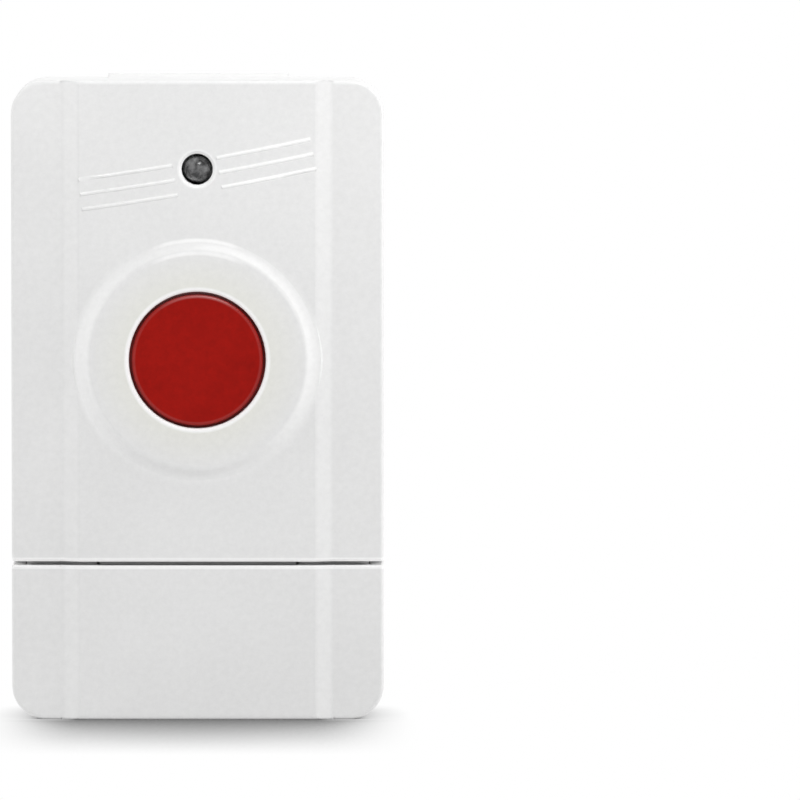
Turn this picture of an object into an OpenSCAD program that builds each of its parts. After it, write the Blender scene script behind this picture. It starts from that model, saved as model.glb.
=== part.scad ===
// Wireless panic button: a pocket-size wall or desk transmitter in three moulded shells.
// The front cover holds the button, the lamp and the circuit board, the rear shell is a shallow tray
// with a wall-screw hole and the battery bay, and the battery cover slides off downwards.
// Sizes are millimetres. Pieces are drawn lying on their back (x across, y up the case, z out of
// the front) and stand() turns the whole object upright, front to -Y, with its foot on z = 0.

/* [Case] */
// Width of the front cover
case_w = 41.6; // [41:0.1:46]
// Height of the case without the pry lip
case_h = 71.6; // [70:0.1:78]
// Depth from the back face to the button boss
case_d = 15; // [14.8:0.1:17]
// Radius of the four corners seen from the front
corner_r = 3.8; // [3.4:0.1:5]
// Rounding of the front edges
edge_r = 0.4; // [0.3:0.05:0.8]
// Thickness of the side walls
wall = 1.5; // [1.3:0.1:1.6]
// Thickness of the front wall beside the raised panel
front_wall = 1.5; // [1.4:0.05:1.6]
// Thickness of the back wall
rear_wall = 1.5; // [1.2:0.1:1.7]
// Height of the rear shell up to the parting line
parting_z = 5; // [4.4:0.1:5.6]
// Step from the front cover back to the rear shell, at each side
rear_inset_side = 0.8; // [0.5:0.05:0.9]
// Step from the front cover back to the rear shell, at each end
rear_inset_end = 0.35; // [0.2:0.05:0.6]
// Rounding of the back edges
rear_edge_r = 2.4; // [1.6:0.1:2.5]
// Thickness of the tongue that the rear shell puts inside the other shells
tongue_t = 1.2; // [1:0.05:1.4]
// Height of that tongue above the parting line
tongue_h = 4; // [3.4:0.1:4.4]

/* [Raised panel] */
// Width of the flat of the panel
panel_w = 26.1; // [25:0.1:27]
// Width of the slope at each side of the panel
panel_slope = 2.15; // [1.6:0.05:2.6]
// Height of the panel above the side strips
panel_rise = 0.5; // [0.35:0.05:0.7]
// Rounding at the top and at the foot of those slopes
panel_round = 0.8; // [0.4:0.05:0.9]
// Rounding of the panel's upper and lower ends
panel_end_r = 0.4; // [0.2:0.05:0.8]

/* [Button boss] */
// Diameter of the flat of the boss
boss_d = 23.9; // [22:0.1:25]
// Width of the slope round the boss
boss_slope = 1.85; // [1.6:0.05:2.2]
// Height of the boss above the panel
boss_rise = 0.6; // [0.4:0.05:0.8]
// Rounding of the boss's upper edge
boss_round = 0.95; // [0.4:0.05:1.2]
// Rounding of the lip of the button hole
lip_r = 0.35; // [0.2:0.05:0.5]

/* [Ornamental ribs] */
// Number of ribs at each side of the lamp
rib_count = 3; // [1:1:4]
// Thickness of a rib
rib_t = 0.42; // [0.32:0.02:0.7]
// Height of a rib above the panel
rib_rise = 0.15; // [0.1:0.01:0.28]
// Distance between ribs
rib_pitch = 1.67; // [1.2:0.01:2]
// Distance of the middle rib's line below the lamp
rib_drop = 0.8; // [0:0.02:1.2]
// Tilt of the ribs at the centre line, in degrees
rib_tilt = 9.8; // [4:0.1:14]
// Radius of the ribs' sweep
rib_bend = 340; // [120:1:400]
// Clear distance round the lamp
rib_clear = 2.5; // [2.2:0.05:4]
// Distance of the ribs' outer ends from the centre line
rib_reach = 13.2; // [10:0.1:13.4]

/* [Button] */
// Height of the button's centre
button_y = 40.4; // [39:0.1:42]
// Diameter of the cap
button_d = 14.7; // [13:0.1:15.5]
// Gap round the cap
button_gap = 0.3; // [0.2:0.02:0.4]
// Depth of the cap's face below the boss
button_sink = 0.2; // [0:0.05:0.4]
// Travel of the button
button_travel = 0.5; // [0.25:0.05:0.6]
// Rounding of the cap's edge
button_edge_r = 0.4; // [0.2:0.05:0.6]
// Width of the flange that keeps the cap in
flange_w = 1.05; // [0.8:0.05:1.4]
// Thickness of the flange
flange_t = 0.9; // [0.7:0.05:1.1]
// Thickness of the cap's skin
cap_skin = 1.2; // [1:0.05:1.4]

/* [Lamp] */
// Distance of the lamp below the top edge
led_drop = 9.9; // [8.6:0.1:11.6]
// Diameter of the lamp
led_d = 3; // [2.8:0.05:3.1]
// Diameter of its hole
led_hole_d = 3.5; // [3.3:0.05:3.8]
// Bevel round that hole
led_bevel = 0.3; // [0.1:0.05:0.4]
// Length of the lamp's body
led_l = 5.3; // [4.8:0.1:5.6]

/* [Battery] */
// Length of the battery with its terminal, a 12 V cell stack
battery_l = 28.5; // [27.6:0.1:29]
// Room below the battery
battery_rise = 0.8; // [0.5:0.05:1]
// Room behind and in front of the battery
battery_gap = 0.3; // [0.2:0.05:0.4]
// Thickness of the contact strips
strip_t = 0.4; // [0.3:0.05:0.5]
// Width of a contact plate
plate_w = 8.6; // [7:0.1:9]
// Wire of the battery spring
spring_wire = 0.6; // [0.5:0.05:0.7]
// Turns of the battery spring
spring_turns = 3.5; // [2.5:0.5:4]

/* [Battery cover] */
// Height of the seam between the front cover and the battery cover
seam_y = 17.55; // [17.2:0.05:18.5]
// Width of the seam
seam_gap = 0.42; // [0.2:0.02:0.5]
// Width of the bevel at each side of the seam
seam_bevel = 0.21; // [0.1:0.01:0.35]
// Running gap of the sliding cover
slide_gap = 0.15; // [0.1:0.01:0.2]
// Depth of the rails that guide the cover
rail_w = 0.55; // [0.4:0.05:0.6]
// Height of the rails
rail_h = 0.9; // [0.7:0.05:1.2]
// Width of the tab that tucks behind the front cover
tab_w = 22; // [16:0.5:24]
// Length of that tab beyond the seam
tab_l = 2.2; // [1.5:0.1:2.6]
// Length of the lips of the front cover that close the seam beside the tab
seam_lip = 1.2; // [0.8:0.1:1.6]

/* [Wall hole] */
// Distance of the wall-screw hole below the top edge
hole_drop = 10.3; // [8:0.1:15]
// Diameter of the hole
hole_d = 3.85; // [3:0.05:4.5]
// Height of the ring that stiffens the hole inside
hole_ring_h = 1.2; // [0.6:0.1:1.6]

/* [Pry lip] */
// Width of the lip at the top edge
pry_w = 20.2; // [16:0.1:24]
// Height that the lip stands proud
pry_rise = 0.4; // [0.2:0.05:0.6]
// Depth of the lip along the top wall
pry_depth = 2.6; // [1.8:0.1:3.4]

/* [Circuit board] */
// Thickness of the board
board_t = 1.6; // [1:0.1:1.6]
// Gap from the board's edge to the tongue
board_gap = 0.9; // [0.8:0.05:1.2]
// Height of the board's lower edge above the seam
board_rise = 2.8; // [2.6:0.1:3.4]
// Distance of the screws and pins from the board's side edges
screw_edge = 3.85; // [3.65:0.05:4.05]
// Distance of the two screws below the board's upper edge
screw_drop = 11.85; // [11:0.05:12.8]
// Height of the two locating pins above the board's lower edge
pin_rise = 6.15; // [5.7:0.05:6.6]
// Diameter of the screws' shanks
screw_d = 2; // [1.8:0.05:2.2]
// Height of the tact switch with its plunger
switch_h = 4.3; // [4.3:0.05:4.6]
// Turns of the antenna coil
antenna_turns = 13; // [8:1:14]

/* [Hidden] */
$fn = 96;

case_white = [0.91, 0.91, 0.9];
button_red = [0.58, 0.11, 0.08];
smoke = [0.2, 0.2, 0.2];
board_green = [0.13, 0.38, 0.2];
plastic_black = [0.1, 0.1, 0.1];
bright_metal = [0.75, 0.75, 0.74];
copper = [0.72, 0.45, 0.2];
ceramic = [0.62, 0.52, 0.4];
jacket_grey = [0.35, 0.37, 0.4];

// Small fits shared by several pieces
over = 0.5;                  // how far a cut runs past a face
sink = 0.6;                  // how far a joined solid reaches into its carrier
rest_gap = 0.05;             // play between pieces that bear on each other
fit_gap = 0.15;              // gap between the tongue and the shells round it
arc_steps = 4;               // facets of the rounding of a slope
foot_sink = 0.02;            // how far the foot of the boss runs into the panel

// Levels, from the back face forwards
panel_z = case_d - boss_rise;
strip_z = panel_z - panel_rise;
ceiling_z = strip_z - front_wall;
tongue_z = parting_z + tongue_h;
led_y = case_h - led_drop;
hole_y = case_h - hole_drop;

// Outlines, from the centre line outwards
inner_w = case_w - 2 * wall;
inner_r = corner_r - wall;
tongue_out = inner_w / 2 - fit_gap;
tongue_in = tongue_out - tongue_t;
tongue_foot = wall + fit_gap;
tongue_top = case_h - wall - fit_gap;
slope_x = panel_w / 2 + panel_slope;

// Slope of the panel: an arc at its top, a straight flank and an arc at its foot, all tangent
crest_at = [panel_w / 2, panel_z - panel_round];
foot_at = [slope_x, strip_z + panel_round];
slope_a = atan2(panel_slope, 2 * panel_round - panel_rise)
    - acos(2 * panel_round / norm(foot_at - crest_at));

// Button stack, from the front backwards
hole_r = button_d / 2 + button_gap;
flange_r = hole_r + flange_w;
flange_play = 0.1;
flange_top = case_d - wall - flange_play;
flange_z = flange_top - flange_t;
cap_top = case_d - button_sink;
collar_r = flange_r + button_gap;
collar_t = 1;
collar_h = 1.4;
post_r = 2;
post_drop = 0.35;
post_z = flange_z - post_drop;
plunger_top = post_z - rest_gap;
board_front = plunger_top - switch_h;
board_back = board_front - board_t;

// Circuit board outline
board_w = 2 * (tongue_in - board_gap);
board_y0 = seam_y + board_rise;
board_y1 = tongue_top - tongue_t - board_gap;
board_corner = 1;
screw_x = board_w / 2 - screw_edge;
screw_y = board_y1 - screw_drop;
pin_y = board_y0 + pin_rise;
mid_y = (pin_y + screw_y) / 2;
boss_wall = 1.2;
stand_r = screw_d / 2 + boss_wall;
pin_r = 0.9;
lead_hole_r = 0.45;

// Battery bay: the battery fills the depth of the case, between two contact plates at the tongue
battery_d = ceiling_z - rear_wall - 2 * battery_gap;
battery_z = rear_wall + battery_gap + battery_d / 2;
battery_y = tongue_foot + tongue_t + battery_rise + battery_d / 2;
plate_x = tongue_in - rest_gap - strip_t;
dimple_h = 1.5;
dimple_foot_r = 2.4;
dimple_tip_r = 1.5;
nub_l = 1;
nub_r = 2.6;
nub_x = plate_x - dimple_h - rest_gap;
can_x1 = nub_x - nub_l;
can_x0 = nub_x - battery_l;
plate_foot = 0.9;
plate_head = 1;
plate_z0 = rear_wall + plate_foot;
plate_z1 = ceiling_z - plate_head;
plate_hold = 0.7;
arm_w = 2.2;
tail_l = 3.2;
bay_wall_t = 1;
bay_wall_room = 1.7;
bay_wall_gap = 1.5;
bay_wall_y = battery_y + battery_d / 2 + bay_wall_room;
bay_wall_z = ceiling_z - bay_wall_gap;
saddle_t = 1.2;
saddle_drop = 1;

// Rails, catches and their seats in the tongue share one height
rail_rise = 2.2;
rail_foot = 0.4;
rail_head = 1;
rail_z = parting_z + rail_rise;
rail_y0 = corner_r + rail_foot;
rail_y1 = seam_y - rail_head;
catch_len = 5.6;
catch_rise = 14.45;
catch_drop = 13.6;
catch_rows = [seam_y + catch_rise, case_h - catch_drop];
tab_t = 0.5;
lip_t = 0.65;

// Turns the drawn case upright, its front to -Y and its depth centred
module stand() translate([0, case_d / 2, 0]) rotate([90, 0, 0]) children();

// Both hands of a piece, left and right
module both() for (hand = [0, 1]) mirror([hand, 0, 0]) children();

// Quarter of a disc in the first quadrant
module quarter(r) intersection() {
    circle(r);
    square(r);
}

// Section of a plate from the axis out to a rounded upper edge
module edge_profile(reach, height, round_r) {
    square([reach - round_r, height]);
    translate([reach - round_r, 0]) square([round_r, height - round_r]);
    translate([reach - round_r, height - round_r]) quarter(round_r);
}

// Rectangle with rounded corners, centred
module round_rect(w, h, r) {
    square([w, h - 2 * r], center = true);
    for (end = [0, 1]) mirror([0, end, 0]) {
        translate([-w / 2 + r, h / 2 - r]) square([w - 2 * r, r]);
        both() translate([w / 2 - r, h / 2 - r]) quarter(r);
    }
}

// Plate with rounded corners and a rounded edge all round its upper face, centred
module soft_slab(w, h, t, corner, round_r) {
    x_in = w / 2 - corner;
    y_in = h / 2 - corner;
    translate([-x_in, -y_in, 0]) cube([2 * x_in, 2 * y_in, t]);
    both() translate([x_in, y_in, 0]) rotate([90, 0, 0])
        linear_extrude(2 * y_in) edge_profile(corner, t, round_r);
    for (end = [0, 1]) mirror([0, end, 0]) {
        translate([-x_in, y_in, 0]) rotate([90, 0, 90])
            linear_extrude(2 * x_in) edge_profile(corner, t, round_r);
        both() translate([x_in, y_in, 0])
            rotate_extrude(angle = 90) edge_profile(corner, t, round_r);
    }
}

// Right half of the panel's section, from the foot of the slope up to the flat
function slope_arc(at, side) = [for (i = [0:arc_steps])
    let (turn = slope_a * i / arc_steps) at + side * panel_round * [sin(turn), cos(turn)]];
function slope_points() = concat(slope_arc(foot_at, -1),
    [for (i = [arc_steps:-1:0]) slope_arc(crest_at, 1)[i]]);

// The raised panel runs the whole height, and both its ends are rounded
module panel_block() {
    base = ceiling_z - sink;
    right = concat([[slope_x, base]], slope_points());
    left = [for (i = [len(right) - 1:-1:0]) [-right[i][0], right[i][1]]];
    intersection() {
        translate([0, case_h, 0]) rotate([90, 0, 0]) linear_extrude(case_h)
            polygon(concat(right, left));
        translate([-case_w / 2, case_h / 2, base]) for (end = [0, 1]) mirror([0, end, 0])
            rotate([90, 0, 90]) linear_extrude(case_w)
                edge_profile(case_h / 2, panel_z - base, panel_end_r);
    }
}

// The round boss rises off the panel in two arcs, hollow at its foot and full at its upper edge
module boss_block() {
    drop = boss_rise + foot_sink;
    tilt = 2 * atan(drop / boss_slope);
    foot_round = boss_slope / sin(tilt) - boss_round;
    crest = [boss_d / 2, case_d - boss_round];
    foot = [boss_d / 2 + boss_slope, case_d - drop];
    translate([0, button_y, 0]) rotate_extrude() {
        difference() {
            polygon([[0, ceiling_z], [foot[0] + sink, ceiling_z], foot + [sink, -sink], foot,
                crest + boss_round * [sin(tilt), cos(tilt)], crest, [crest[0], case_d], [0, case_d]]);
            translate(foot + [0, foot_round]) circle(foot_round);
        }
        translate(crest) circle(boss_round);
    }
}

// Outer form that the front cover and the battery cover are cut from
module front_form() {
    translate([0, case_h / 2, parting_z])
        soft_slab(case_w, case_h, strip_z - parting_z, corner_r, edge_r);
    panel_block();
}

// Hollow of the front form
module front_hollow(z0) translate([0, case_h / 2, z0]) linear_extrude(ceiling_z - z0)
    round_rect(inner_w, case_h - 2 * wall, inner_r);

// Square bar on its edge between two points of a section across the case
module bevel_bar(p, q) {
    run = q - p;
    side = (seam_gap / 2 + seam_bevel) * sqrt(2);
    translate([p[0], seam_y, p[1]]) rotate([0, -atan2(run[1], run[0]), 0]) rotate([45, 0, 0])
        translate([-side / 2, -side / 2, -side / 2]) cube([norm(run) + side, side, side]);
}

// Bevel along both edges of the seam, over the panel, its slopes, the strips and the sides
module seam_bevels() both() {
    crease = panel_round * tan(slope_a / 2);
    section = [[0, panel_z], [panel_w / 2 + crease, panel_z], [slope_x - crease, strip_z],
        [case_w / 2, strip_z], [case_w / 2, parting_z]];
    for (i = [0:len(section) - 2]) bevel_bar(section[i], section[i + 1]);
}

// Three swept ribs at each side of the lamp, half sunk in the panel
module ribs() {
    middle = (rib_count - 1) / 2;
    turn = 180 / PI / rib_bend;
    translate([0, led_y - rib_drop, panel_z + rib_rise - rib_t / 2]) rotate([0, 0, rib_tilt])
        translate([0, rib_bend, 0]) for (i = [0:rib_count - 1]) {
            r = rib_bend + (i - middle) * rib_pitch;
            for (from = [-rib_reach, rib_clear])
                rotate([0, 0, -90 + from * turn]) rotate_extrude(angle = (rib_reach - rib_clear) * turn)
                    translate([r, 0]) circle(d = rib_t);
        }
}

// Lip at the top edge for prying the case open, wider at its foot
module pry_lip() {
    tip = pry_depth / 3;
    translate([-pry_w / 2, case_h, parting_z]) rotate([90, 0, 90]) linear_extrude(pry_w)
        polygon([[-sink, 0], [pry_rise, 0], [pry_rise, tip], [0, pry_depth], [-sink, pry_depth]]);
}

// Round cut that rolls the lip of the button hole
module hole_lip() {
    steps = 4;
    rolled = [for (i = [0:steps]) [hole_r + lip_r * (1 - cos(90 * i / steps)),
        case_d - lip_r * (1 - sin(90 * i / steps))]];
    translate([0, button_y, 0]) rotate_extrude() polygon(concat(
        [[0, case_d - lip_r]], rolled, [[hole_r + lip_r, case_d + over], [0, case_d + over]]));
}

// Lips that reach down behind the battery cover's edge, one at each side of its tab
module seam_lips(y0) both() {
    x0 = tab_w / 2 + 2 * slide_gap;
    z0 = ceiling_z - slide_gap - lip_t;
    x_size = inner_w / 2 - slide_gap - x0;
    translate([x0, y0 - seam_lip, z0]) cube([x_size, seam_lip + sink, lip_t]);
    translate([x0, y0, z0]) cube([x_size, sink, lip_t + slide_gap + sink]);
}

// Boss that the board stands on, from the front wall back to the board
module board_boss(y) translate([screw_x, y, board_front])
    cylinder(r = stand_r, h = ceiling_z + sink - board_front);

// Front cover: the moulded face with its panel, boss and ribs
module front_cover() color(case_white) stand() {
    y0 = seam_y + seam_gap / 2;
    difference() {
        union() {
            difference() {
                intersection() {
                    union() {
                        front_form();
                        boss_block();
                    }
                    translate([-case_w, y0, 0]) cube([2 * case_w, case_h, 2 * case_d]);
                }
                front_hollow(parting_z - over);
                translate([-tab_w / 2 - slide_gap, y0 - over, ceiling_z - over])
                    cube([tab_w + 2 * slide_gap, tab_l + over + slide_gap,
                        over + tab_t + slide_gap]);
            }
            ribs();
            pry_lip();
            seam_lips(y0);
            translate([0, button_y, ceiling_z - collar_h])
                cylinder(r = collar_r + collar_t, h = collar_h + sink);
            both() {
                board_boss(screw_y);
                board_boss(pin_y);
                translate([screw_x, pin_y, board_back]) cylinder(r = pin_r, h = board_t + sink);
                for (y = catch_rows) translate([tongue_out - rail_w, y - catch_len / 2, rail_z])
                    cube([rail_w + fit_gap + sink, catch_len, rail_h]);
            }
        }
        translate([0, button_y, ceiling_z - collar_h - over])
            cylinder(r = collar_r, h = case_d - wall - ceiling_z + collar_h + over);
        translate([0, button_y, ceiling_z]) cylinder(r = hole_r, h = case_d);
        hole_lip();
        translate([0, led_y, ceiling_z - over]) cylinder(d = led_hole_d, h = case_d);
        translate([0, led_y, panel_z - led_bevel])
            cylinder(r1 = led_hole_d / 2, r2 = led_hole_d / 2 + led_bevel + over, h = led_bevel + over);
        both() translate([screw_x, screw_y, board_front - over])
            cylinder(d = screw_d + 2 * rest_gap, h = ceiling_z - board_front);
        seam_bevels();
    }
}

// Rear shell: a shallow tray with a tongue, the wall hole and the battery bay
module rear_shell() color(case_white) stand() {
    h = case_h - 2 * rear_inset_end;
    tongue_h_all = tongue_top - tongue_foot;
    seat = rail_h + 2 * slide_gap;
    difference() {
        union() {
            translate([0, case_h / 2, parting_z]) mirror([0, 0, 1]) soft_slab(
                case_w - 2 * rear_inset_side, h, parting_z, corner_r - rear_inset_side, rear_edge_r);
            translate([0, case_h / 2, rear_wall]) linear_extrude(tongue_z - rear_wall)
                round_rect(2 * tongue_out, tongue_h_all, inner_r - fit_gap);
        }
        translate([0, case_h / 2, rear_wall]) linear_extrude(tongue_z)
            round_rect(2 * tongue_in, tongue_h_all - 2 * tongue_t, inner_r - fit_gap - tongue_t / 2);
        both() {
            translate([tongue_out - rail_w - slide_gap, -over, rail_z - slide_gap])
                cube([case_w, rail_y1 + 2 * slide_gap + over, seat]);
            for (y = catch_rows) translate([tongue_in - over, y - catch_len / 2 - slide_gap,
                    rail_z - slide_gap])
                cube([case_w, catch_len + 2 * slide_gap, seat]);
        }
        translate([0, hole_y, -over]) cylinder(d = hole_d, h = case_d);
        translate([-pry_w / 2, tongue_top, parting_z - pry_rise])
            cube([pry_w, case_h, pry_rise + over]);
    }
    difference() {
        translate([0, hole_y, rear_wall - sink]) cylinder(d = 2 * hole_d, h = hole_ring_h + sink);
        translate([0, hole_y, -over]) cylinder(d = hole_d, h = case_d);
    }
    battery_saddles();
    translate([-plate_x + strip_t, bay_wall_y, rear_wall - sink])
        cube([2 * (plate_x - strip_t), bay_wall_t, bay_wall_z - rear_wall + sink]);
    contact_ribs();
}

// Two saddles that the battery lies in
module battery_saddles() {
    saddle_z = battery_z - saddle_drop;
    half = battery_d / 2;
    for (x = [can_x0 + half, can_x1 - half - saddle_t]) difference() {
        translate([x, battery_y - half, rear_wall - sink])
            cube([saddle_t, 2 * half, saddle_z - rear_wall + sink]);
        translate([x - over, battery_y, battery_z]) rotate([0, 90, 0])
            cylinder(r = half + rest_gap, h = saddle_t + 2 * over);
    }
}

// Ribs that hold each contact plate against the tongue
module contact_ribs() {
    rib_w = 0.8;
    reach = plate_w / 2 - plate_hold;
    both() for (y = [battery_y - reach - rib_w, battery_y + reach])
        translate([plate_x - rest_gap - rib_w, y, rear_wall - sink])
            cube([rib_w, rib_w, tongue_z - rear_wall + sink]);
}

// Battery cover: the lower end of the face, sliding on two rails, with a tab behind the front cover
module battery_cover() color(case_white) stand() {
    y1 = seam_y - seam_gap / 2;
    z0 = parting_z + slide_gap;
    difference() {
        intersection() {
            front_form();
            translate([-case_w, -case_h + y1, z0]) cube([2 * case_w, case_h, case_d]);
        }
        front_hollow(parting_z - over);
        seam_bevels();
    }
    translate([-tab_w / 2, y1 - 2 * sink, ceiling_z])
        cube([tab_w, tab_l + 2 * sink, tab_t]);
    both() translate([tongue_out + fit_gap - rail_w, rail_y0, rail_z])
        cube([rail_w + sink, rail_y1 - rail_y0, rail_h]);
}

// Button cap: a hollow cap with a flange, a centre post and two crossed ribs
module button_cap() color(button_red) stand() translate([0, button_y, 0]) {
    cap_r = button_d / 2;
    rib_w = 1;
    pocket_z = cap_top - cap_skin;
    difference() {
        union() {
            translate([0, 0, flange_z]) rotate_extrude()
                edge_profile(cap_r, cap_top - flange_z, button_edge_r);
            translate([0, 0, flange_z]) cylinder(r = flange_r, h = flange_t);
        }
        translate([0, 0, flange_z - over])
            cylinder(r = cap_r - cap_skin, h = pocket_z - flange_z + over);
    }
    translate([0, 0, post_z]) cylinder(r = post_r, h = cap_top - cap_skin / 2 - post_z);
    for (turn = [0, 90]) rotate([0, 0, turn])
        translate([-cap_r + cap_skin / 2, -rib_w / 2, flange_z])
            cube([2 * cap_r - cap_skin, rib_w, pocket_z - flange_z + sink / 2]);
}

// Lamp: a domed body on a flange
led_top = panel_z - rest_gap;
led_flange_w = 0.4;
led_flange_h = 1;
led_pitch = 2.54;
lead_w = 0.5;
module led_lens() color(smoke) stand() translate([0, led_y, led_top - led_l]) {
    tip_flat = 0.05;
    rotate_extrude() edge_profile(led_d / 2, led_l, led_d / 2 - tip_flat);
    cylinder(r = led_d / 2 + led_flange_w, h = led_flange_h);
}

// Height that soldered wires stand out behind the board
lead_out = 1;
lead_back = board_back - lead_out;
module led_leads() color(bright_metal) stand() both()
    translate([led_pitch / 2 - lead_w / 2, led_y - lead_w / 2, lead_back])
        cube([lead_w, lead_w, led_top - led_l - lead_back]);

// Tact switch, under the button
switch_w = 6;
switch_body_h = 3.3;
switch_plate_t = 0.2;
switch_corner = 0.5;
plunger_r = 1.75;
plunger_l = 2.8;
plunger_room = 0.3;
switch_well = plunger_l - switch_h + switch_body_h + button_travel + plunger_room;
plunger_edge = 0.25;
plunger_gap = 0.15;
leg_t = 0.3;
leg_w = 0.7;
leg_y = 2.25;
leg_up = 1.2;

// Encoder chip, in from the left screw
encoder_in = 7;
encoder_drop = 2.2;
encoder_at = [-screw_x + encoder_in, screw_y - encoder_drop];
encoder_l = 4.9;
encoder_w = 3.9;
encoder_h = 1.45;
encoder_pitch = 1.27;
encoder_leg_count = 4;
mark_at = 0.8;
mark_r = 0.35;
mark_depth = 0.1;

// Resonator, in from the right pin
resonator_in = 7.6;
resonator_rise = 1;
resonator_at = [screw_x - resonator_in, pin_y + resonator_rise];
resonator_r = 4.1;
resonator_flange = 0.45;
resonator_h = 3.1;
resonator_edge = 0.4;
resonator_pin_r = 0.22;
resonator_pin_at = 1.8;

// Radio transistor and the tuning coil, by the left pin
transistor_in = 3.4;
transistor_rise = 2.6;
transistor_at = [-transistor_in, pin_y + transistor_rise];
transistor_l = 2.9;
transistor_w = 1.3;
transistor_h = 1;
transistor_pitch = 1.9;
coil_in = 5.2;
coil_drop = 1.4;
coil_at = [-screw_x + coil_in, pin_y - coil_drop];

// Antenna, along the left edge of the board
antenna_edge = 2.95;
antenna_x = -board_w / 2 + antenna_edge;

// Circuit board with its round holes and the slots of the switch
module circuit_board() color(board_green) stand() difference() {
    translate([0, (board_y0 + board_y1) / 2, board_back]) linear_extrude(board_t)
        round_rect(board_w, board_y1 - board_y0, board_corner);
    translate([0, 0, board_back - over]) {
        both() {
            translate([screw_x, screw_y, 0]) cylinder(d = screw_d + 2 * fit_gap, h = case_d);
            translate([screw_x, pin_y, 0]) cylinder(r = pin_r + fit_gap, h = case_d);
            translate([led_pitch / 2, led_y, 0]) cylinder(r = lead_hole_r, h = case_d);
            for (y = [-leg_y, leg_y]) translate([switch_w / 2 - fit_gap,
                    button_y + y - leg_w / 2 - fit_gap, 0])
                cube([leg_t + 2 * fit_gap, leg_w + 2 * fit_gap, case_d]);
        }
        for (turn = [0:120:240]) translate(resonator_at) rotate([0, 0, turn])
            translate([resonator_pin_at, 0, 0]) cylinder(r = lead_hole_r, h = case_d);
        for (y = antenna_ends) translate([antenna_x, y, 0]) cylinder(r = lead_hole_r, h = case_d);
        for (x = tuning_ends) translate([x, coil_at[1], 0]) cylinder(r = lead_hole_r, h = case_d);
    }
}

// Two pan-head screws that hold the board to the front cover
screw_head_w = 0.8;
screw_head_h = 1.3;
screw_head_edge = 0.5;
screw_bite = 2.8;
slot_w = 0.6;
slot_l = 2.2;
slot_depth = 0.7;
module board_screws() color(bright_metal) stand() both() translate([screw_x, screw_y, board_back]) {
    cylinder(d = screw_d, h = board_t + screw_bite);
    difference() {
        mirror([0, 0, 1]) rotate_extrude()
            edge_profile(screw_d / 2 + screw_head_w, screw_head_h, screw_head_edge);
        for (turn = [0, 90]) rotate([0, 0, turn])
            translate([-slot_w / 2, -slot_l / 2, -screw_head_h - over])
                cube([slot_w, slot_l, slot_depth + over]);
    }
}

// Moulded body of the tact switch
module switch_body() color(plastic_black) stand() translate([0, button_y, board_front]) difference() {
    translate([-switch_w / 2, -switch_w / 2, 0]) cube([switch_w, switch_w, switch_body_h]);
    translate([0, 0, switch_body_h - switch_well])
        cylinder(r = plunger_r + plunger_gap, h = switch_body_h);
}

// Metal plate staked on the switch
module switch_plate() color(bright_metal) stand()
    translate([0, button_y, board_front + switch_body_h]) difference() {
        linear_extrude(switch_plate_t) round_rect(switch_w, switch_w, switch_corner);
        translate([0, 0, -over]) cylinder(r = plunger_r + plunger_gap, h = 2 * over + switch_plate_t);
    }

// Plunger that the cap's post presses
module switch_plunger() color(plastic_black) stand()
    translate([0, button_y, plunger_top - plunger_l]) rotate_extrude()
        edge_profile(plunger_r, plunger_l, plunger_edge);

// Four legs of the switch, through the board
module switch_legs() color(bright_metal) stand() both() for (y = [-leg_y, leg_y])
    translate([switch_w / 2, button_y + y - leg_w / 2, lead_back])
        cube([leg_t, leg_w, board_front - lead_back + leg_up]);

// Encoder chip, raised on its legs
chip_lift = 0.15;
module encoder_chip() color(plastic_black) stand()
    translate([encoder_at[0], encoder_at[1], board_front + chip_lift]) difference() {
        translate([-encoder_l / 2, -encoder_w / 2, 0]) cube([encoder_l, encoder_w, encoder_h]);
        translate([-encoder_l / 2 + mark_at, -encoder_w / 2 + mark_at, encoder_h - mark_depth])
            cylinder(r = mark_r, h = over);
    }

// Gull-wing legs along the upper and the lower side of a chip
gull_t = 0.2;
gull_w = 0.4;
gull_reach = 1.05;
module gull_legs(at, chip_w, rise, pitch, counts) {
    knee = gull_reach / 2;
    for (side = [0, 1]) translate([at[0], at[1], board_front]) mirror([0, side, 0])
        for (i = [0:counts[side] - 1])
            translate([(i - (counts[side] - 1) / 2) * pitch - gull_w / 2, chip_w / 2, 0])
                rotate([90, 0, 90]) linear_extrude(gull_w) polygon([[0, rise], [0, rise + gull_t],
                    [knee, rise + gull_t], [knee, gull_t], [gull_reach, gull_t], [gull_reach, 0],
                    [knee - gull_t, 0], [knee - gull_t, rise]]);
}
module encoder_legs() color(bright_metal) stand() gull_legs(encoder_at, encoder_w, encoder_h / 2,
    encoder_pitch, [encoder_leg_count, encoder_leg_count]);

// Resonator in its round can
module resonator_can() color(bright_metal) stand()
    translate([resonator_at[0], resonator_at[1], board_front]) {
        rotate_extrude() edge_profile(resonator_r, resonator_h, resonator_edge);
        cylinder(r = resonator_r + resonator_flange, h = resonator_flange);
    }

// Three pins of the resonator
module resonator_leads() color(bright_metal) stand()
    translate([resonator_at[0], resonator_at[1], lead_back]) for (turn = [0:120:240])
        rotate([0, 0, turn]) translate([resonator_pin_at, 0, 0])
            cylinder(r = resonator_pin_r, h = board_front - lead_back);

// Radio transistor
module rf_transistor() color(plastic_black) stand()
    translate([transistor_at[0] - transistor_l / 2, transistor_at[1] - transistor_w / 2,
        board_front + chip_lift / 2]) cube([transistor_l, transistor_w, transistor_h]);
module transistor_legs() color(bright_metal) stand()
    gull_legs(transistor_at, transistor_w, transistor_h / 2, transistor_pitch, [2, 1]);

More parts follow.
